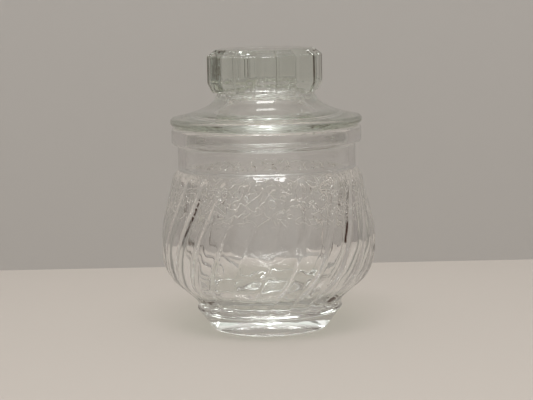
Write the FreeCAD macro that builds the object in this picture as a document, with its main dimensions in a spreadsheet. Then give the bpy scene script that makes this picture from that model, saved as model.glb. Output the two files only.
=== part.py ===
import FreeCAD, Part
import math
import os

import Sketcher

# A small pressed-glass storage jar and its loose glass lid, in millimetres.
# Origin: centre of the ring that the jar stands on. +Z is up.
# The jar is one solid: a smooth tapered foot, a round belly with leaning ribs, a plain neck and a
# thick mouth bead, hollow inside. The lid is the other solid: a plug ring that drops into the
# mouth, a thin domed disc, a flared stem and an eight-sided knob with bevelled edges.

RIB_COUNT = 24
KNOB_SIDES = 8
NEAR = 1e-5  # points closer than this are the same point

# Driving dimensions: name and value, in millimetres or degrees.
SIZES = [
    ("foot_contact_radius", 23.4),
    ("foot_edge_radius", 25.7),
    ("foot_edge_height", 2.2),
    ("foot_side_radius", 28.3),
    ("foot_side_height", 5.4),
    ("foot_top_radius", 30.5),
    ("foot_top_height", 9.4),
    ("foot_top_round", 0.5),
    ("punt_radius", 20.8),
    ("punt_shoulder_radius", 18.2),
    ("punt_height", 0.8),
    ("rib_lean", 20.5),
    ("rib_phase", -4.8),
    ("neck_radius", 37.1),
    ("mouth_radius", 33.9),
    ("bead_radius", 39.6),
    ("bead_bottom", 78.0),
    ("bead_fillet", 1.2),
    ("bead_top", 85.0),
    ("lip_fillet", 1.5),
    ("floor_radius", 16.5),
    ("floor_height", 13.0),
    ("bowl_round", 24.0),
    ("belly_round", 36.0),
    ("belly_rise", 13.0),
    ("throat_radius", 36.2),
    ("throat_height", 63.0),
    ("throat_bend_radius", 35.5),
    ("throat_bend_height", 66.0),
    ("throat_top_height", 68.4),
    ("plug_radius", 33.2),
    ("plug_bore_radius", 29.8),
    ("plug_bottom", 79.3),
    ("plug_fillet", 0.8),
    ("recess_edge_height", 85.8),
    ("recess_bend_radius", 20.5),
    ("recess_bend_height", 88.4),
    ("recess_core_radius", 16.0),
    ("recess_core_height", 94.0),
    ("recess_shoulder_radius", 14.8),
    ("recess_shoulder_height", 101.2),
    ("recess_dome_radius", 9.5),
    ("recess_dome_height", 104.4),
    ("recess_top_radius", 3.0),
    ("recess_top_height", 105.6),
    ("seat_radius", 37.6),
    ("disc_radius", 40.0),
    ("disc_edge_radius", 38.5),
    ("disc_edge_low", 85.7),
    ("disc_edge_mid", 87.4),
    ("disc_edge_high", 89.1),
    ("disc_shoulder_radius", 30.5),
    ("disc_shoulder_height", 91.2),
    ("flare_radius", 24.4),
    ("flare_height", 93.4),
    ("stem_radius", 20.3),
    ("stem_low", 97.0),
    ("stem_high", 102.4),
    ("knob_radius", 24.5),
    ("knob_low", 99.2),
    ("knob_high", 117.0),
    ("knob_turn", 12.5),
    ("knob_low_inset", 1.9),
    ("knob_low_drop", 4.2),
    ("knob_top_inset", 3.4),
    ("knob_top_drop", 2.8),
    ("knob_fillet", 0.6),
]

# The belly from the foot up to the neck, one row for each level:
# height, radius over the ribs and depth of the grooves between them.
LEVELS = [
    (9.4, 29.7, 0.0),
    (12.6, 31.0, 0.5),
    (16.4, 35.1, 0.8),
    (22.0, 41.2, 0.9),
    (28.6, 44.3, 0.9),
    (36.0, 45.0, 0.9),
    (44.0, 44.4, 0.9),
    (53.0, 42.2, 0.9),
    (60.0, 40.5, 0.8),
    (63.8, 39.8, 0.7),
    (66.4, 38.3, 0.3),
    (67.8, 37.1, 0.0),
]

doc = FreeCAD.newDocument("swirl_jar")
sheet = doc.addObject("Spreadsheet::Sheet", "dims")


def fill_sheet():
    """Writes every driving dimension to a cell of its own, with its name as the cell's alias."""
    cells = list(SIZES)
    for number, (height, radius, groove) in enumerate(LEVELS):
        cells.append((f"level_height_{number}", height))
        cells.append((f"level_radius_{number}", radius))
        cells.append((f"level_groove_{number}", groove))
    for row, (name, value) in enumerate(cells, start=1):
        sheet.set(f"A{row}", name)
        sheet.set(f"B{row}", str(value))
        sheet.setAlias(f"B{row}", name)
    doc.recompute()


def new_body(name):
    """An empty body whose label is the name of its node."""
    body = doc.addObject("PartDesign::Body", name)
    body.Label = name
    body.Placement = FreeCAD.Placement()
    return body


def new_sketch(body, name, role, height="", turn=""):
    """A sketch on one of the body's own origin planes, raised and turned by sheet expressions."""
    sketch = body.newObject("Sketcher::SketchObject", name)
    plane = next(item for item in body.Origin.OriginFeatures if item.Role == role)
    sketch.AttachmentSupport = [(plane, "")]
    sketch.MapMode = "FlatFace"
    if height:
        sketch.setExpression(".AttachmentOffset.Base.z", height)
    if turn:
        sketch.setExpression(".AttachmentOffset.Rotation.Angle", turn)
    return sketch


def place_of(sketch, corner):
    """The point that a corner's two expressions give now."""
    across, up = corner
    return FreeCAD.Vector(float(sketch.evalExpression(across)), float(sketch.evalExpression(up)), 0)


def pin(sketch, edge, end, corner):
    """Constraints that hold one end of an edge at a corner, with the expressions that drive them.

    A corner is two expressions, and "0" puts it on that axis.
    """
    spot = place_of(sketch, corner)
    pairs = []
    for kind, axis, text, value in (("DistanceX", -2, corner[0], spot.x),
                                    ("DistanceY", -1, corner[1], spot.y)):
        if text == "0":
            pairs.append((Sketcher.Constraint("PointOnObject", edge, end, axis), None))
        else:
            pairs.append((Sketcher.Constraint(kind, -1, 1, edge, end, value), text))
    return pairs


def draw_outline(sketch, corners):
    """A closed outline of straight runs and arcs, each pinned to the sheet.

    Each corner is a tuple. It ends with the place where its edge ends: a pair of expressions. An
    arc's corner starts with the word "arc" and a place that the arc passes through on the way.
    """
    pairs = []
    for number, corner in enumerate(corners):
        start = place_of(sketch, corners[number - 1][-1])
        finish = place_of(sketch, corner[-1])
        if corner[0] == "arc":
            middle = place_of(sketch, corner[1])
            edge = sketch.addGeometry(Part.Arc(start, middle, finish), False)
            mark = sketch.addGeometry(Part.Point(middle), True)
            pairs += pin(sketch, mark, 1, corner[1])
            pairs.append((Sketcher.Constraint("PointOnObject", mark, 1, edge), None))
        else:
            edge = sketch.addGeometry(Part.LineSegment(start, finish), False)
        # An arc is kept counter-clockwise, so its far end is found by where it lies.
        far_end = 2 if sketch.getPoint(edge, 2).distanceToPoint(finish) < NEAR else 1
        pairs += pin(sketch, edge, far_end, corner[-1])
    pairs += joined_ends(sketch)
    first = sketch.ConstraintCount
    sketch.addConstraint([constraint for constraint, text in pairs])
    for number, (constraint, text) in enumerate(pairs, start=first):
        if text:
            sketch.setExpression(f"Constraints[{number}]", text)


def joined_ends(sketch):
    """Constraints that join the ends of edges lying at the same point."""
    ends = []
    for edge in range(len(sketch.Geometry)):
        if not sketch.getConstruction(edge):
            ends += [(edge, end, sketch.getPoint(edge, end)) for end in (1, 2)]
    pairs = []
    for number, (edge, end, point) in enumerate(ends):
        for other_edge, other_end, other_point in ends[number + 1:]:
            if edge != other_edge and point.distanceToPoint(other_point) < NEAR:
                joint = Sketcher.Constraint("Coincident", edge, end, other_edge, other_end)
                pairs.append((joint, None))
    return pairs


def rounded_ring(count, crest, groove, start):
    """Corners of a ring of equal arcs: grooves at one radius, the middle of each arc at another."""
    pitch = 360 / count
    corners = []
    for number in range(count):
        middle = start + pitch * (number - 0.5)
        end = start + pitch * number
        top = (f"({crest}) * cos({middle})", f"({crest}) * sin({middle})")
        low = (f"({groove}) * cos({end})", f"({groove}) * sin({end})")
        corners.append(("arc", top, low))
    return corners


def polygon(count, radius):
    """Corners of a regular polygon that stands on a flat side."""
    pitch = 360 / count
    corners = []
    for number in range(count):
        angle = pitch * (number + 0.5)
        corners.append(((f"{radius} * cos({angle})", f"{radius} * sin({angle})"),))
    return corners


def turned(body, kind, name, corners):
    """A feature turned about Z from an outline in the XZ plane: a Revolution adds, a Groove cuts."""
    sketch = new_sketch(body, name + "_outline", "XZ_Plane")
    draw_outline(sketch, corners)
    feature = body.newObject("PartDesign::" + kind, name)
    feature.Profile = sketch
    feature.ReferenceAxis = (sketch, ["V_Axis"])
    feature.Angle = 360
    doc.recompute()
    return feature


def ring_edges(feature, rings):
    """Names of a feature's edges that run round Z at one of the given radii and heights."""
    names = []
    for number, edge in enumerate(feature.Shape.Edges, start=1):
        if edge.Degenerated:
            continue
        spots = [(math.hypot(point.x, point.y), point.z) for point in edge.discretize(5)]
        for ring in rings:
            if all(math.dist(spot, ring) < NEAR for spot in spots):
                names.append(f"Edge{number}")
    return names


def dim(name):
    """The number in the sheet's cell of that name."""
    return float(sheet.get(name))


def turn_step(number):
    """Expression for how far the ribs turn between one level and the next below it.

    The ribs keep the same lean from the upright all the way, so the turn is the run along the
    wall times the tangent of the lean, over the mean radius.
    """
    rise = f"(dims.level_height_{number} - dims.level_height_{number - 1})"
    out = f"(dims.level_radius_{number} - dims.level_radius_{number - 1})"
    mean = f"(dims.level_radius_{number} + dims.level_radius_{number - 1})"
    run = f"sqrt({rise} * {rise} + {out} * {out})"
    return f"tan(dims.rib_lean) * {run} * 2 / {mean} * 180 / pi"


def build_belly(body):
    """The ribbed belly: rings of rounded ribs, each turned a little from the one below."""
    sections = []
    quarter_pitch = 360 / RIB_COUNT / 4
    turn = "dims.rib_phase"
    for number in range(len(LEVELS)):
        if number:
            turn = f"{turn} + {turn_step(number)}"
        crest = f"dims.level_radius_{number}"
        groove = f"{crest} - dims.level_groove_{number}"
        height = f"dims.level_height_{number}"
        section = new_sketch(body, f"rib_ring_{number}", "XY_Plane", height, turn)
        draw_outline(section, rounded_ring(RIB_COUNT, crest, groove, quarter_pitch))
        sections.append(section)
    doc.recompute()
    belly = body.newObject("PartDesign::AdditiveLoft", "belly")
    belly.Profile = sections[0]
    belly.Sections = sections[1:]
    belly.Ruled = False
    belly.Closed = False
    doc.recompute()
    return belly


def build_foot(body):
    """The smooth foot: a flat ring to stand on, a side that widens upwards and a soft top edge."""
    turned(body, "Revolution", "foot", [
        (("0", "0"),),
        (("dims.foot_contact_radius", "0"),),
        (("dims.foot_edge_radius", "dims.foot_edge_height"),),
        ("arc", ("dims.foot_side_radius", "dims.foot_side_height"),
                ("dims.foot_top_radius", "dims.foot_top_height - dims.foot_top_round")),
        (("dims.foot_top_radius - dims.foot_top_round", "dims.foot_top_height"),),
        (("0", "dims.foot_top_height"),),
    ])


def build_neck(body):
    """The plain straight neck with the thick bead round the mouth."""
    top_level = len(LEVELS) - 1
    base = f"dims.level_height_{top_level}"
    turned(body, "Revolution", "neck", [
        (("0", base),),
        (("dims.neck_radius", base),),
        (("dims.neck_radius", "dims.bead_bottom"),),
        (("dims.bead_radius", "dims.bead_bottom"),),
        (("dims.bead_radius", "dims.bead_top"),),
        (("0", "dims.bead_top"),),
    ])


def build_hollow(body):
    """Cuts the hollow: a round bowl, a belly that draws in, and a throat up to the straight mouth."""
    widest = "dims.floor_radius + dims.bowl_round"
    widest_height = "dims.floor_height + dims.bowl_round"
    half_way = "(dims.belly_rise / 2)"
    half_in = f"dims.belly_round - sqrt(dims.belly_round ^ 2 - {half_way} ^ 2)"
    full_in = "dims.belly_round - sqrt(dims.belly_round ^ 2 - dims.belly_rise ^ 2)"
    turned(body, "Groove", "hollow", [
        (("0", "dims.floor_height"),),
        (("dims.floor_radius", "dims.floor_height"),),
        ("arc", ("dims.floor_radius + dims.bowl_round * sin(45)",
                 "dims.floor_height + dims.bowl_round * (1 - cos(45))"),
                (widest, widest_height)),
        ("arc", (f"{widest} - ({half_in})", f"{widest_height} + {half_way}"),
                (f"{widest} - ({full_in})", f"{widest_height} + dims.belly_rise")),
        (("dims.throat_radius", "dims.throat_height"),),
        ("arc", ("dims.throat_bend_radius", "dims.throat_bend_height"),
                ("dims.mouth_radius", "dims.throat_top_height")),
        (("dims.mouth_radius", "dims.bead_top"),),
        (("0", "dims.bead_top"),),
    ])


def build_punt(body):
    """The shallow hollow under the foot that leaves a ring to stand on."""
    turned(body, "Groove", "punt", [
        (("0", "0"),),
        (("dims.punt_radius", "0"),),
        (("dims.punt_shoulder_radius", "dims.punt_height"),),
        (("0", "dims.punt_height"),),
    ])


def round_edges(body, name, base, rings, size):
    """Rounds the round edges of a feature that have the given radii and heights."""
    fillet = body.newObject("PartDesign::Fillet", name)
    fillet.Base = (base, ring_edges(base, rings))
    fillet.setExpression("Radius", size)
    doc.recompute()
    return fillet


def build_jar():
    """The jar: one piece of glass with a foot, a ribbed belly, a neck and a mouth bead."""
    body = new_body("jar")
    build_belly(body)
    build_foot(body)
    build_neck(body)
    build_hollow(body)
    build_punt(body)
    low = dim("bead_bottom")
    top = dim("bead_top")
    lip = round_edges(body, "lip_rounding", body.Tip,
                      [(dim("mouth_radius"), top), (dim("bead_radius"), top)], "dims.lip_fillet")
    round_edges(body, "bead_rounding", lip,
                [(dim("bead_radius"), low), (dim("neck_radius"), low)], "dims.bead_fillet")
    return body


def build_knob(body):
    """The eight-sided knob: a straight prism with a bevel round its top and round its bottom."""
    outline = new_sketch(body, "knob_outline", "XY_Plane", "dims.knob_low",
                         f"dims.knob_turn - {180 / KNOB_SIDES}")
    draw_outline(outline, polygon(KNOB_SIDES, "dims.knob_radius"))
    knob = body.newObject("PartDesign::Pad", "knob")
    knob.Profile = outline
    knob.setExpression("Length", "dims.knob_high - dims.knob_low")
    doc.recompute()
    low = bevel(body, "knob_low_bevel", knob, dim("knob_low"), "knob_low")
    return bevel(body, "knob_top_bevel", low, dim("knob_high"), "knob_top")


def bevel(body, name, base, height, size):
    """Cuts a bevel along a feature's straight edges at one height."""
    names = []
    for number, edge in enumerate(base.Shape.Edges, start=1):
        if all(abs(vertex.Z - height) < NEAR for vertex in edge.Vertexes):
            names.append(f"Edge{number}")
    chamfer = body.newObject("PartDesign::Chamfer", name)
    chamfer.Base = (base, names)
    chamfer.ChamferType = "Two distances"
    chamfer.setExpression("Size", f"dims.{size}_drop")
    chamfer.setExpression("Size2", f"dims.{size}_inset")
    doc.recompute()
    return chamfer


def build_lid():
    """The lid: knob, stem, domed disc and plug in one piece, with a recess up into it from below."""
    body = new_body("lid")
    knob = build_knob(body)
    softened = body.newObject("PartDesign::Fillet", "knob_rounding")
    softened.Base = (knob, [f"Edge{number + 1}" for number in range(len(knob.Shape.Edges))])
    softened.setExpression("Radius", "dims.knob_fillet")
    doc.recompute()
    turned(body, "Revolution", "disc", [
        (("0", "dims.plug_bottom"),),
        (("dims.plug_radius", "dims.plug_bottom"),),
        (("dims.plug_radius", "dims.bead_top"),),
        (("dims.seat_radius", "dims.bead_top"),),
        (("dims.disc_edge_radius", "dims.disc_edge_low"),),
        ("arc", ("dims.disc_radius", "dims.disc_edge_mid"),
                ("dims.disc_edge_radius", "dims.disc_edge_high")),
        (("dims.disc_shoulder_radius", "dims.disc_shoulder_height"),),
        ("arc", ("dims.flare_radius", "dims.flare_height"),
                ("dims.stem_radius", "dims.stem_low")),
        (("dims.stem_radius", "dims.stem_high"),),
        (("0", "dims.stem_high"),),
    ])
    recess = turned(body, "Groove", "recess", [
        (("0", "dims.plug_bottom"),),
        (("dims.plug_bore_radius", "dims.plug_bottom"),),
        (("dims.plug_bore_radius", "dims.recess_edge_height"),),
        ("arc", ("dims.recess_bend_radius", "dims.recess_bend_height"),
                ("dims.recess_core_radius", "dims.recess_core_height")),
        (("dims.recess_shoulder_radius", "dims.recess_shoulder_height"),),
        ("arc", ("dims.recess_dome_radius", "dims.recess_dome_height"),
                ("dims.recess_top_radius", "dims.recess_top_height")),
        (("0", "dims.recess_top_height"),),
    ])
    rings = [(dim("plug_bore_radius"), dim("plug_bottom")), (dim("plug_radius"), dim("plug_bottom"))]
    round_edges(body, "plug_rounding", recess, rings, "dims.plug_fillet")
    return body


def faults(bodies):
    """Names whatever failed to build."""
    names = []
    for item in doc.Objects:
        if "Invalid" in item.State or "Error" in item.State:
            names.append(item.Name)
    for body in bodies:
        if body.Shape.isNull() or not body.Shape.isValid() or len(body.Shape.Solids) != 1:
            names.append(body.Label)
    return names


fill_sheet()
bodies = [build_jar(), build_lid()]
doc.recompute()
failed = faults(bodies)
if failed:
    raise RuntimeError("not built: " + ", ".join(failed))
os.makedirs("parts", exist_ok=True)
for body in bodies:
    body.Shape.exportStep(f"parts/{body.Label}.step")
    print(body.Label, round(body.Shape.Volume), "mm3")
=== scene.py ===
import math

import bpy
import bmesh
from mathutils import Matrix, Vector


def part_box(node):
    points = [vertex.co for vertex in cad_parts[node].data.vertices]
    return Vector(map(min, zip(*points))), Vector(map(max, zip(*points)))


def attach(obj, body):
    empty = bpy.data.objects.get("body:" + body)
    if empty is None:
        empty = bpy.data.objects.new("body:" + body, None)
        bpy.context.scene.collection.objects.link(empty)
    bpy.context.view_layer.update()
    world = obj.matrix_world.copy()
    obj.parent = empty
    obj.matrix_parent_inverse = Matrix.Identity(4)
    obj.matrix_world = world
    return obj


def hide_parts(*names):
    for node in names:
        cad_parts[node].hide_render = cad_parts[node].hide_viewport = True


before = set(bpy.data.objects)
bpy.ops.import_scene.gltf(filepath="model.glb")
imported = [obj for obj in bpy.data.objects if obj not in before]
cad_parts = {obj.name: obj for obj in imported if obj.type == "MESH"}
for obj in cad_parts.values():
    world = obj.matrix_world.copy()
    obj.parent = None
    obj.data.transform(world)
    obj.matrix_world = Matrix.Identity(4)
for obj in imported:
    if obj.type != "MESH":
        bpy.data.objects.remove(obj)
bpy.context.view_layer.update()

# ---- Jar -------------------------------------------------------------------------------------
# The jar is one piece of clear soda-lime glass, blown in a mould: a smooth foot, a round belly
# with leaning ribs, a plain neck and a thick bead round the mouth. Its wall is cut through here as
# one closed outline, turned round the centre line, and the ribs are pressed in by a rule.

MM = 0.001
jar_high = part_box("jar")[1]
belly_reach = jar_high.x / MM      # ribs at the widest level
jar_top = jar_high.z / MM
foot_top = 9.4
neck_foot = 67.8
neck_radius = 37.1
mouth_radius = 33.9
bead_radius = 39.6
bead_low = jar_top - 7.0
quarter_sag = 0.29        # the share of its radius by which a quarter round cuts its corner

# Levels up the belly: height, radius over the ribs, depth of the grooves between them.
belly_levels = [
    (foot_top, 29.7, 0.0),
    (12.6, 31.0, 0.5),
    (16.4, 35.1, 0.8),
    (22.0, 41.2, 0.9),
    (28.6, 44.2, 0.9),
    (36.0, belly_reach, 0.9),
    (44.0, 44.3, 0.9),
    (53.0, 42.2, 0.9),
    (60.0, 40.5, 0.8),
    (63.8, 39.8, 0.7),
    (66.4, 38.3, 0.3),
    (neck_foot, neck_radius, 0.0),
]
# The face inside, from the throat down to the middle of the floor: radius and height.
hollow_levels = [
    (36.2, 63.0), (37.2, 56.0), (38.4, 49.5), (39.8, 43.5), (40.5, 37.0), (39.4, 29.9),
    (37.3, 25.0), (33.5, 20.1), (28.8, 16.4), (23.0, 13.9), (16.5, 13.0), (8.0, 13.0), (0.0, 13.0),
]
rib_count = 24
inner_rib_share = 0.85    # the face inside follows the ribs, a little softer
inner_rib_fade = (14.0, 30.0)    # radii between which they come up from the smooth floor
rib_lean = math.radians(20.5)
rib_phase = math.radians(-4.8 + 360 / rib_count / 4)
# Heights between which the wrinkles come in, and go out again, under the neck.
wrinkles_in = (46.0, 55.0)
wrinkles_out = (65.0, 67.5)


def straight(start, end, step):
    """Points along a straight run, without its last one."""
    count = max(1, round(math.dist(start, end) / step))
    return [tuple(a + (b - a) * i / count for a, b in zip(start, end)) for i in range(count)]


def arc(start, middle, end, step):
    """Points along the arc through three places, without its last one."""
    (ax, ay), (bx, by), (cx, cy) = start, middle, end
    cross = 2 * (ax * (by - cy) + bx * (cy - ay) + cx * (ay - by))
    squares = (ax * ax + ay * ay, bx * bx + by * by, cx * cx + cy * cy)
    x = (squares[0] * (by - cy) + squares[1] * (cy - ay) + squares[2] * (ay - by)) / cross
    y = (squares[0] * (cx - bx) + squares[1] * (ax - cx) + squares[2] * (bx - ax)) / cross
    radius = math.dist((x, y), start)
    first = math.atan2(ay - y, ax - x)
    turn = math.atan2(cy - y, cx - x) - first
    way = math.atan2(by - y, bx - x) - first
    turn %= math.tau
    if way % math.tau > turn:
        turn -= math.tau
    count = max(2, round(abs(turn) * radius / step))
    return [(x + radius * math.cos(first + turn * i / count),
             y + radius * math.sin(first + turn * i / count)) for i in range(count)]


def smooth_through(rows, step):
    """Rows of numbers that run smoothly through the given rows, without the last one."""
    points = []
    for index in range(len(rows) - 1):
        before = rows[max(index - 1, 0)]
        start, end = rows[index], rows[index + 1]
        after = rows[min(index + 2, len(rows) - 1)]
        count = max(1, round(math.dist(start[:2], end[:2]) / step))
        for i in range(count):
            t = i / count
            row = []
            for p, a, b, n in zip(before, start, end, after):
                row.append(0.5 * (2 * a + (b - p) * t + (2 * p - 5 * a + 4 * b - n) * t * t
                                  + (3 * a - p - 3 * b + n) * t * t * t))
            points.append(tuple(row))
    return points


def smooth_step(low, high, value):
    """0 below the low value, 1 above the high one, and an even rise between."""
    t = min(max((value - low) / (high - low), 0.0), 1.0)
    return t * t * (3 - 2 * t)


def marked(points, **marks):
    """Outline points with what the mould does there: groove, turn, flat, ripple and wrinkle."""
    return [{"radius": radius, "height": height, **marks} for radius, height in points]


def belly_outside(step):
    """The outside of the belly from the foot up, with the ribs that lean round it."""
    rows = []
    turn = rib_phase
    before = None
    for height, radius, groove in smooth_through(belly_levels, step):
        if before:
            run = math.dist(before, (radius, height))
            turn += math.tan(rib_lean) * run * 2 / (before[0] + radius)
        before = (radius, height)
        wrinkle = smooth_step(*wrinkles_in, height) * (1 - smooth_step(*wrinkles_out, height))
        rows += marked([before], groove=max(groove, 0.0), turn=turn, wrinkle=wrinkle)
    return rows


def belly_inside(points, outside):
    """The face inside, which carries a share of the ribs outside it at the same turn."""
    rows = []
    for radius, height in points:
        near = min(outside, key=lambda row: math.dist((radius, height),
                                                      (row["radius"], row["height"])))
        share = inner_rib_share * smooth_step(*inner_rib_fade, radius)
        rows += marked([(radius, height)], groove=near["groove"] * share, turn=near["turn"])
    return rows


def jar_outline():
    """The jar's wall cut through: up the outside from the centre of the base, down the inside."""
    lip, bead_round, fine, coarse = 1.5, 1.2, 0.35, 1.0
    lip_sag, bead_sag = 0.44, 0.35
    # The foot: a shallow hollow underneath, the ring it stands on, then out to its upper edge.
    foot = (straight((0.0, 0.8), (18.2, 0.8), 2.5)
            + arc((18.2, 0.8), (19.8, 0.5), (20.9, 0.0), fine)
            + straight((20.9, 0.0), (23.2, 0.0), fine * 2)
            + arc((23.2, 0.0), (24.1, 0.45), (24.8, 1.2), fine)
            + arc((24.8, 1.2), (27.9, 5.2), (30.5, 8.7), coarse)
            + arc((30.5, 8.7), (30.5, 9.1), (30.2, 9.3), fine))
    outside = belly_outside(coarse)
    neck = (straight((neck_radius, neck_foot), (neck_radius, bead_low - bead_round), coarse * 1.5)
            + arc((neck_radius, bead_low - bead_round),
                  (neck_radius + bead_round * quarter_sag, bead_low - bead_round * quarter_sag),
                  (neck_radius + bead_round, bead_low), fine)
            + arc((neck_radius + bead_round, bead_low),
                  (bead_radius - bead_sag, bead_low + bead_sag),
                  (bead_radius, bead_low + bead_round), fine)
            + straight((bead_radius, bead_low + bead_round), (bead_radius, jar_top - lip), coarse)
            + arc((bead_radius, jar_top - lip), (bead_radius - lip_sag, jar_top - lip_sag),
                  (bead_radius - lip, jar_top), fine)
            + straight((bead_radius - lip, jar_top), (mouth_radius + lip, jar_top), coarse)
            + arc((mouth_radius + lip, jar_top), (mouth_radius + lip_sag, jar_top - lip_sag),
                  (mouth_radius, jar_top - lip), fine)
            + straight((mouth_radius, jar_top - lip), (mouth_radius, 68.4), coarse * 1.5))
    inside = (arc((mouth_radius, 68.4), (35.5, 66.0), hollow_levels[0], fine * 2)
              + smooth_through(hollow_levels, coarse * 1.2) + [hollow_levels[-1]])
    return marked(foot) + outside + marked(neck) + belly_inside(inside, outside)


def outline_object(name, rows):
    """An outline as a chain of points, with what the turning tree reads stored on each point."""
    mesh = bpy.data.meshes.new(name)
    mesh.from_pydata([(row["radius"] * MM, 0.0, row["height"] * MM) for row in rows],
                     [(i, i + 1) for i in range(len(rows) - 1)], [])
    for label, scale in (("groove", MM), ("turn", 1.0), ("flat", 1.0), ("ripple", MM),
                         ("wrinkle", 1.0)):
        values = mesh.attributes.new(label, "FLOAT", "POINT")
        for index, row in enumerate(rows):
            values.data[index].value = row.get(label, 0.0) * scale
    piece = bpy.data.objects.new(name, mesh)
    bpy.context.scene.collection.objects.link(piece)
    return piece


def add_node(tree, kind, *inputs, **settings):
    """Adds a node with its settings, and fills or links its inputs in order. None leaves one."""
    node = tree.nodes.new(kind)
    for name, value in settings.items():
        setattr(node, name, value)
    for socket, value in zip(node.inputs, inputs):
        if isinstance(value, bpy.types.Node):
            value = value.outputs[0]
        if isinstance(value, bpy.types.NodeSocket):
            tree.links.new(value, socket)
        elif value is not None:
            socket.default_value = value
    return node


crowding = 0.8    # how strongly columns crowd, short of 1 where they would fold over
seam_gap = 0.001 * MM


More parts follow.
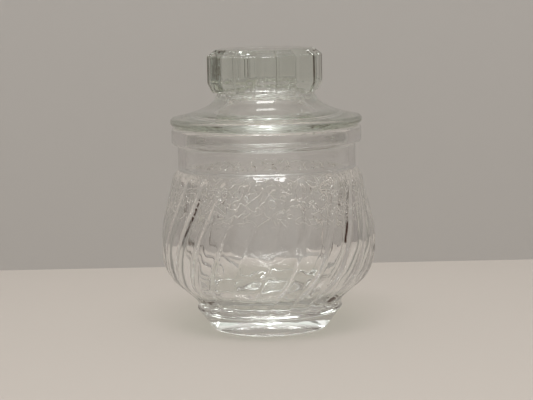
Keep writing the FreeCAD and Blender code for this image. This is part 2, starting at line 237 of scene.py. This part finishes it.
def turning_tree():
    """A tree that turns an outline round Z, and presses ribs, flat sides and ripples into it."""
    tree = bpy.data.node_groups.new("turned_and_pressed_glass", "GeometryNodeTree")
    face = tree.interface
    face.new_socket("Outline", in_out="INPUT", socket_type="NodeSocketGeometry")
    for label, kind, value in (("Columns", "NodeSocketInt", 360), ("Ribs", "NodeSocketInt", 24),
                               ("Rib Shape", "NodeSocketFloat", 2.4),
                               ("Sides", "NodeSocketInt", 8), ("Side Turn", "NodeSocketFloat", 0.0),
                               ("Corner Radius", "NodeSocketFloat", 0.0),
                               ("Ripple Size", "NodeSocketFloat", 0.004),
                               ("Seed", "NodeSocketFloat", 0.0)):
        face.new_socket(label, in_out="INPUT", socket_type=kind).default_value = value
    face.new_socket("Glass", in_out="INPUT", socket_type="NodeSocketMaterial")
    face.new_socket("Piece", in_out="OUTPUT", socket_type="NodeSocketGeometry")
    given = tree.nodes.new("NodeGroupInput").outputs
    result = tree.nodes.new("NodeGroupOutput")

    # One row of the grid for each point of the outline, one column for each step round.
    size = add_node(tree, "GeometryNodeAttributeDomainSize", given["Outline"], component="MESH")
    rows = size.outputs["Point Count"]
    wide = add_node(tree, "ShaderNodeMath", given["Columns"], 1.0, operation="ADD")
    grid = add_node(tree, "GeometryNodeMeshGrid", 1.0, 1.0, wide, rows)
    index = add_node(tree, "GeometryNodeInputIndex")
    row = add_node(tree, "ShaderNodeMath", index, rows, operation="MODULO")
    inner = add_node(tree, "ShaderNodeMath", index, 0.5, operation="ADD")
    share = add_node(tree, "ShaderNodeMath", inner, rows, operation="DIVIDE")
    column = add_node(tree, "ShaderNodeMath", share, operation="FLOOR")
    marks = {}
    for label in ("groove", "turn", "flat", "ripple", "wrinkle"):
        field = add_node(tree, "GeometryNodeInputNamedAttribute", label, data_type="FLOAT")
        marks[label] = add_node(tree, "GeometryNodeSampleIndex", given["Outline"], field, row,
                                data_type="FLOAT")
    spot = add_node(tree, "GeometryNodeSampleIndex", given["Outline"],
                    add_node(tree, "GeometryNodeInputPosition"), row, data_type="FLOAT_VECTOR")
    spot = add_node(tree, "ShaderNodeSeparateXYZ", spot).outputs

    # Columns crowd towards the corners of the flat sides, where the glass is rounded off.
    step = add_node(tree, "ShaderNodeMath", math.tau, given["Columns"], operation="DIVIDE")
    even = add_node(tree, "ShaderNodeMath", column, step, operation="MULTIPLY")
    wave = add_node(tree, "ShaderNodeMath", even, given["Sides"], operation="MULTIPLY")
    wave = add_node(tree, "ShaderNodeMath", wave, operation="SINE")
    pull = add_node(tree, "ShaderNodeMath", -crowding, given["Sides"], operation="DIVIDE")
    has_sides = add_node(tree, "ShaderNodeMath", given["Corner Radius"], 0.0,
                         operation="GREATER_THAN")
    pull = add_node(tree, "ShaderNodeMath", pull, has_sides, operation="MULTIPLY")
    angle = add_node(tree, "ShaderNodeMath", wave, pull, even, operation="MULTIPLY_ADD")

    # Ribs: rounded over the middle, with a narrow groove where two meet.
    lap = add_node(tree, "ShaderNodeMath", angle, marks["turn"], operation="SUBTRACT")
    pitch = add_node(tree, "ShaderNodeMath", given["Ribs"], math.tau, operation="DIVIDE")
    lap = add_node(tree, "ShaderNodeMath", lap, pitch, operation="MULTIPLY")
    lap = add_node(tree, "ShaderNodeMath", lap, operation="FRACT")
    across = add_node(tree, "ShaderNodeMath", lap, 2.0, -1.0, operation="MULTIPLY_ADD")
    across = add_node(tree, "ShaderNodeMath", across, operation="ABSOLUTE")
    groove = add_node(tree, "ShaderNodeMath", across, given["Rib Shape"], operation="POWER")
    groove = add_node(tree, "ShaderNodeMath", groove, marks["groove"], operation="MULTIPLY")

    # Flat sides: the radius to a side is over the cosine, and a corner is an arc.
    half_side = add_node(tree, "ShaderNodeMath", math.pi, given["Sides"], operation="DIVIDE")
    whole_side = add_node(tree, "ShaderNodeMath", half_side, 2.0, operation="MULTIPLY")
    off = add_node(tree, "ShaderNodeMath", angle, half_side, operation="ADD")
    off = add_node(tree, "ShaderNodeMath", off, whole_side, operation="MODULO")
    off = add_node(tree, "ShaderNodeMath", off, half_side, operation="SUBTRACT")
    off = add_node(tree, "ShaderNodeMath", off, operation="ABSOLUTE")
    to_middle = add_node(tree, "ShaderNodeMath", half_side, off, operation="SUBTRACT")
    to_middle = add_node(tree, "ShaderNodeMath", to_middle, operation="COSINE")
    to_flat = add_node(tree, "ShaderNodeMath", spot["X"], to_middle, operation="DIVIDE")
    half_cosine = add_node(tree, "ShaderNodeMath", half_side, operation="COSINE")
    centre = add_node(tree, "ShaderNodeMath", spot["X"], given["Corner Radius"],
                      operation="SUBTRACT")
    centre = add_node(tree, "ShaderNodeMath", centre, half_cosine, operation="DIVIDE")
    sideways = add_node(tree, "ShaderNodeMath", off, operation="SINE")
    sideways = add_node(tree, "ShaderNodeMath", sideways, centre, operation="MULTIPLY")
    sideways = add_node(tree, "ShaderNodeMath", sideways, 2.0, operation="POWER")
    corner = add_node(tree, "ShaderNodeMath", given["Corner Radius"], 2.0, operation="POWER")
    corner = add_node(tree, "ShaderNodeMath", corner, sideways, operation="SUBTRACT")
    corner = add_node(tree, "ShaderNodeMath", corner, 0.0, operation="MAXIMUM")
    corner = add_node(tree, "ShaderNodeMath", corner, operation="SQRT")
    forward = add_node(tree, "ShaderNodeMath", off, operation="COSINE")
    to_corner = add_node(tree, "ShaderNodeMath", forward, centre, corner, operation="MULTIPLY_ADD")
    reach = add_node(tree, "ShaderNodeMath", to_flat, to_corner, operation="MINIMUM")
    reach = add_node(tree, "ShaderNodeMath", reach, 0.0, operation="MAXIMUM")
    sided = add_node(tree, "ShaderNodeMix", marks["flat"], None, spot["X"], reach,
                     data_type="FLOAT")

    radius = add_node(tree, "ShaderNodeMath", sided, groove, operation="SUBTRACT")
    heading = add_node(tree, "ShaderNodeMath", angle, given["Side Turn"], operation="ADD")
    right = add_node(tree, "ShaderNodeMath", heading, operation="COSINE")
    right = add_node(tree, "ShaderNodeMath", right, radius, operation="MULTIPLY")
    back = add_node(tree, "ShaderNodeMath", heading, operation="SINE")
    back = add_node(tree, "ShaderNodeMath", back, radius, operation="MULTIPLY")
    place = add_node(tree, "ShaderNodeCombineXYZ", right, back, spot["Z"])

    # Ripples left by the cool mould, along the surface's normal.
    fineness = add_node(tree, "ShaderNodeMath", 1.0, given["Ripple Size"], operation="DIVIDE")
    noise = add_node(tree, "ShaderNodeTexNoise", place, given["Seed"], fineness, 2.0, 0.5,
                     noise_dimensions="4D")
    swell = add_node(tree, "ShaderNodeMath", noise, 0.5, operation="SUBTRACT")
    swell = add_node(tree, "ShaderNodeMath", swell, marks["ripple"], operation="MULTIPLY")
    moved = add_node(tree, "GeometryNodeSetPosition", grid, None, place)
    moved = add_node(tree, "GeometryNodeStoreNamedAttribute", moved, None, "swell", swell,
                     data_type="FLOAT", domain="POINT")
    moved = add_node(tree, "GeometryNodeStoreNamedAttribute", moved, None, "wrinkle",
                     marks["wrinkle"], data_type="FLOAT", domain="POINT")
    joined = add_node(tree, "GeometryNodeMergeByDistance", moved, None, seam_gap)
    swell = add_node(tree, "GeometryNodeInputNamedAttribute", "swell", data_type="FLOAT")
    lift = add_node(tree, "ShaderNodeVectorMath", add_node(tree, "GeometryNodeInputNormal"),
                    None, None, swell, operation="SCALE")
    rippled = add_node(tree, "GeometryNodeSetPosition", joined, None, None, lift)
    smooth = add_node(tree, "GeometryNodeSetShadeSmooth", rippled)
    real = add_node(tree, "GeometryNodeRealizeInstances", smooth)
    glass = add_node(tree, "GeometryNodeSetMaterial", real, None, given["Glass"])
    tree.links.new(glass.outputs[0], result.inputs[0])
    return tree


def turned_piece(name, rows, glass, inputs):
    """A plain mesh from the turning tree, with its faces outwards."""
    host = outline_object(name + "_outline", rows)
    modifier = host.modifiers.new("turned", "NODES")
    modifier.node_group = turning_tree_group
    sockets = {item.name: item.identifier for item in turning_tree_group.interface.items_tree
               if item.item_type == "SOCKET" and item.in_out == "INPUT"}
    modifier[sockets["Glass"]] = glass
    for label, value in inputs.items():
        modifier[sockets[label]] = value
    bpy.context.view_layer.update()
    graph = bpy.context.evaluated_depsgraph_get()
    mesh = bpy.data.meshes.new_from_object(host.evaluated_get(graph))
    mesh.name = name
    bpy.data.objects.remove(host)
    work = bmesh.new()
    work.from_mesh(mesh)
    if work.calc_volume(signed=True) < 0:
        bmesh.ops.reverse_faces(work, faces=work.faces)
    work.to_mesh(mesh)
    work.free()
    piece = bpy.data.objects.new(name, mesh)
    bpy.context.scene.collection.objects.link(piece)
    return piece


def from_hex(text):
    """An sRGB hex colour as linear values with full alpha."""
    parts = [int(text[i:i + 2], 16) / 255 for i in (0, 2, 4)]
    return [p / 12.92 if p <= 0.04045 else ((p + 0.055) / 1.055) ** 2.4 for p in parts] + [1.0]


ripple_depth = 0.02
wrinkle_depth = 0.32
wrinkle_width = 0.05       # of the noise's range, either side of the line that a wrinkle follows
turns_inside = 2.5         # reflections within the wall after which light is let out


def moulded_soda_lime_glass(name, ripple_mm, wrinkle_mm, tint, tint_density):
    """Soda-lime glass from a polished mould: clear, glossy, faintly green where it is thick.

    The mould leaves soft ripples all over, and curling wrinkles where the glass met it cold. Both
    bend what shows through. Most of the lamps' light passes through to what the piece stands on.
    """
    glass = bpy.data.materials.new(name)
    glass.use_nodes = True
    tree = glass.node_tree
    tree.nodes.clear()
    shader = add_node(tree, "ShaderNodeBsdfPrincipled")
    shader.inputs["Base Color"].default_value = (1.0, 1.0, 1.0, 1.0)
    shader.inputs["Roughness"].default_value = 0.0
    shader.inputs["IOR"].default_value = 1.52
    shader.inputs["Transmission Weight"].default_value = 1.0
    where = add_node(tree, "ShaderNodeTexCoord").outputs["Object"]
    ripple = add_node(tree, "ShaderNodeTexNoise", where, None, 1 / (ripple_mm * MM), 2.0, 0.5)
    ripple = add_node(tree, "ShaderNodeMath", ripple, ripple_depth * MM, operation="MULTIPLY")
    curl = add_node(tree, "ShaderNodeTexNoise", where, None, 1 / (wrinkle_mm * MM), 0.0, 0.5,
                    None, None, None, 1.6)
    ridge = add_node(tree, "ShaderNodeMath", curl, 0.5, operation="SUBTRACT")
    ridge = add_node(tree, "ShaderNodeMath", ridge, operation="ABSOLUTE")
    ridge = add_node(tree, "ShaderNodeMapRange", ridge, 0.0, wrinkle_width,
                     wrinkle_depth * MM, 0.0)
    wrinkle = add_node(tree, "ShaderNodeAttribute", attribute_name="wrinkle").outputs["Fac"]
    relief = add_node(tree, "ShaderNodeMath", ridge, wrinkle, ripple, operation="MULTIPLY_ADD")
    bump = add_node(tree, "ShaderNodeBump")
    bump.inputs["Strength"].default_value = 1.0
    bump.inputs["Distance"].default_value = 1.0
    tree.links.new(relief.outputs[0], bump.inputs["Height"])
    tree.links.new(bump.outputs[0], shader.inputs["Normal"])
    clear = add_node(tree, "ShaderNodeBsdfTransparent", from_hex("f6f7f6"))
    path = add_node(tree, "ShaderNodeLightPath").outputs
    # Light that has turned inside the wall a few times is let straight out. Real glass passes it
    # on, but the renderer stops following it there and would leave the spot black.
    late = add_node(tree, "ShaderNodeMath", path["Glossy Depth"], turns_inside,
                    operation="GREATER_THAN")
    plain_ray = add_node(tree, "ShaderNodeMath", path["Is Shadow Ray"], path["Is Diffuse Ray"],
                         operation="MAXIMUM")
    through = add_node(tree, "ShaderNodeMath", plain_ray, late, operation="MAXIMUM")
    mixed = add_node(tree, "ShaderNodeMixShader", through, shader, clear)
    depth = add_node(tree, "ShaderNodeVolumeAbsorption")
    depth.inputs["Color"].default_value = from_hex(tint)
    depth.inputs["Density"].default_value = tint_density
    add_node(tree, "ShaderNodeOutputMaterial", mixed, depth)
    return glass


turning_tree_group = turning_tree()
jar_glass = moulded_soda_lime_glass("moulded_soda_lime_glass_jar", 3.0, 5.0, "b4c8b0", 1.2)
jar = turned_piece("jar_glass", jar_outline(), jar_glass,
                   {"Columns": 384, "Ribs": rib_count, "Corner Radius": 0.0})
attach(jar, "root")
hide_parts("jar")

# ---- Lid -------------------------------------------------------------------------------------
# The lid is one piece of the same glass, pressed. A plug ring drops into the mouth, a thin domed
# disc rests on the bead, and a flared stem, hollow from below, carries the eight-sided knob.

lid_low, lid_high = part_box("lid")
plug_low = lid_low.z / MM
knob_top = lid_high.z / MM
knob_low = 99.2
disc_radius = lid_high.x / MM
knob_sides = 8
knob_corner = 24.5
knob_side = knob_corner * math.cos(math.pi / knob_sides)    # to the middle of a flat side


def lid_outline():
    """The lid cut through: down the hollow and the plug, up over the disc, stem and knob."""
    seat, fine, coarse = jar_top + 0.02, 0.35, 0.9
    top_in, top_drop, low_in, low_drop = 3.4, 2.8, 1.9, 4.2
    side = knob_side
    dome = (straight((0.0, 105.6), (3.0, 105.6), coarse)
            + arc((3.0, 105.6), (9.5, 104.4), (14.6, 101.4), 0.6)
            + straight((14.8, 101.2), (16.0, 94.0), coarse))
    flare_inside = arc((16.0, 94.0), (20.5, 88.4), (29.0, 85.9), coarse)
    plug = (arc((29.0, 85.9), (29.6, 85.7), (29.8, 85.2), fine)
            + straight((29.8, 85.2), (29.8, plug_low + 0.8), coarse)
            + arc((29.8, plug_low + 0.8), (30.03, plug_low + 0.23), (30.6, plug_low), fine)
            + straight((30.6, plug_low), (32.4, plug_low), coarse)
            + arc((32.4, plug_low), (32.97, plug_low + 0.23), (33.2, plug_low + 0.8), fine)
            + straight((33.2, plug_low + 0.8), (33.2, seat - 0.5), coarse)
            + arc((33.2, seat - 0.5), (33.35, seat - 0.15), (33.7, seat), fine))
    disc = (straight((33.7, seat), (37.2, seat), coarse)
            + arc((37.2, seat), (37.9, seat + 0.15), (38.6, seat + 0.7), fine)
            + arc((38.6, seat + 0.7), (disc_radius, 87.4), (38.6, 89.1), fine)
            + smooth_through([(38.6, 89.1), (36.5, 89.5), (33.5, 90.2), (30.0, 91.3), (27.0, 92.4),
                              (24.4, 93.7), (22.2, 95.3), (20.9, 97.0), (20.3, 98.6)], coarse)
            + [(20.3, 98.6), (20.4, 99.0)])
    knob = (arc((side - low_in - 0.2, knob_low + 0.1), (side - low_in + 0.05, knob_low + 0.2),
                (side - low_in + 0.25, knob_low + 0.6), 0.2)
            + straight((side - low_in + 0.25, knob_low + 0.6),
                       (side - 0.2, knob_low + low_drop - 0.5), coarse)
            + arc((side - 0.2, knob_low + low_drop - 0.5), (side - 0.04, knob_low + low_drop),
                  (side, knob_low + low_drop + 0.5), 0.2)
            + straight((side, knob_low + low_drop + 0.5), (side, knob_top - top_drop - 0.5), coarse)
            + arc((side, knob_top - top_drop - 0.5), (side - 0.12, knob_top - top_drop + 0.05),
                  (side - 0.5, knob_top - top_drop + 0.45), 0.2)
            + straight((side - 0.5, knob_top - top_drop + 0.45),
                       (side - top_in + 0.5, knob_top - 0.35), coarse)
            + arc((side - top_in + 0.5, knob_top - 0.35), (side - top_in + 0.05, knob_top - 0.08),
                  (side - top_in - 0.5, knob_top), 0.2)
            + straight((side - top_in - 0.5, knob_top), (0.0, knob_top), 2.0)
            + [(0.0, knob_top)])
    return (marked(dome, ripple=0.7, wrinkle=1.0) + marked(flare_inside, ripple=0.06)
            + marked(plug) + marked(disc) + marked(knob, flat=1.0))


lid_glass = moulded_soda_lime_glass("moulded_soda_lime_glass_lid", 3.0, 3.0, "a4bc9c", 8.0)
lid = turned_piece("lid_glass", lid_outline(), lid_glass,
                   {"Columns": 512, "Ribs": 1, "Sides": knob_sides, "Side Turn": math.radians(12.5),
                    "Corner Radius": 0.7 * MM, "Ripple Size": 3.0 * MM})
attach(lid, "root")
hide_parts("lid")

# ---- Table and wall --------------------------------------------------------------------------
# A plain pale table top, and a plain wall on it that is clear from behind. A dark board stands
# far out on each side, and shows only in reflections: it gives the glass its few dark lines.


def plain_sheet(name, corners, colour, roughness):
    """A flat sheet with a plain painted finish, which is not part of the object."""
    mesh = bpy.data.meshes.new(name)
    mesh.from_pydata(corners, [], [tuple(range(len(corners)))])
    paint = bpy.data.materials.new(name + "_paint")
    paint.use_nodes = True
    shader = paint.node_tree.nodes["Principled BSDF"]
    shader.inputs["Base Color"].default_value = from_hex(colour)
    shader.inputs["Roughness"].default_value = roughness
    mesh.materials.append(paint)
    sheet = bpy.data.objects.new(name, mesh)
    bpy.context.scene.collection.objects.link(sheet)
    return sheet


def clear_where(sheet, kind, reading, comparison):
    """Lets light pass through a sheet where a node's reading is above or below one half."""
    tree = sheet.data.materials[0].node_tree
    value = add_node(tree, kind).outputs[reading]
    passes = add_node(tree, "ShaderNodeMath", value, 0.5, operation=comparison)
    clear = add_node(tree, "ShaderNodeBsdfTransparent")
    mixed = add_node(tree, "ShaderNodeMixShader", passes, tree.nodes["Principled BSDF"], clear)
    tree.links.new(mixed.outputs[0], tree.nodes["Material Output"].inputs["Surface"])


wall_away = 0.149
plain_sheet("table_top", [(-2, -2, 0), (2, -2, 0), (2, 2, 0), (-2, 2, 0)], "bfb8b0", 0.7)
wall = plain_sheet("wall", [(-2, wall_away, 0), (2, wall_away, 0), (2, wall_away, 2),
                            (-2, wall_away, 2)], "bbb8b4", 0.6)
clear_where(wall, "ShaderNodeNewGeometry", "Backfacing", "GREATER_THAN")
for name, aside in (("left_board", -0.5), ("right_board", 0.5)):
    board = plain_sheet(name, [(aside, -0.6, 0.0), (aside, 0.1, 0.0), (aside, 0.1, 0.6),
                               (aside, -0.6, 0.6)], "4a2c1c", 0.8)
    clear_where(board, "ShaderNodeLightPath", "Glossy Depth", "LESS_THAN")

# ---- Light -----------------------------------------------------------------------------------
# A wide soft ceiling over everything, and one brighter window high up in front, which gives the
# glints on the shoulder and along the lid. The room itself is a dim even grey.


def soft_lamp(name, place, aim, size, power):
    """A white rectangular lamp at a place in metres, turned to face another."""
    data = bpy.data.lights.new(name, "AREA")
    data.shape = "RECTANGLE"
    data.size, data.size_y = size
    data.energy = power
    lamp = bpy.data.objects.new(name, data)
    lamp.location = place
    lamp.rotation_euler = (Vector(aim) - Vector(place)).to_track_quat("-Z", "Y").to_euler()
    bpy.context.scene.collection.objects.link(lamp)


middle = (0.0, 0.0, 0.06)
soft_lamp("window_light", (0.0, -0.5, 1.3), middle, (0.7, 0.35), 11)
soft_lamp("ceiling_panel", (0.0, -0.4, 1.3), (0.0, -0.4, 0.0), (1.4, 1.0), 3.6)

world = bpy.data.worlds.new("room")
world.use_nodes = True
world.node_tree.nodes["Background"].inputs["Color"].default_value = from_hex("e8e2dc")
world.node_tree.nodes["Background"].inputs["Strength"].default_value = 0.46
bpy.context.scene.world = world

# ---- Camera ----------------------------------------------------------------------------------
# A long lens a little above the lid, looking slightly down, and turned a little about its own line
# of sight, so the foot of the wall slopes.

lens_height = 0.1442
lens_away = 0.68
look_down = math.radians(7.594)
roll = math.radians(-1.2)
camera_data = bpy.data.cameras.new("camera")
camera_data.sensor_width = 36.0
camera_data.lens = 110.363977
camera = bpy.data.objects.new("camera", camera_data)
camera.location = (-0.0005, -lens_away, lens_height)
camera.rotation_euler = (Matrix.Rotation(math.pi / 2 - look_down, 3, "X")
                         @ Matrix.Rotation(roll, 3, "Z")).to_euler()
bpy.context.scene.collection.objects.link(camera)
bpy.context.scene.camera = camera
bpy.context.scene.view_settings.view_transform = "Standard"
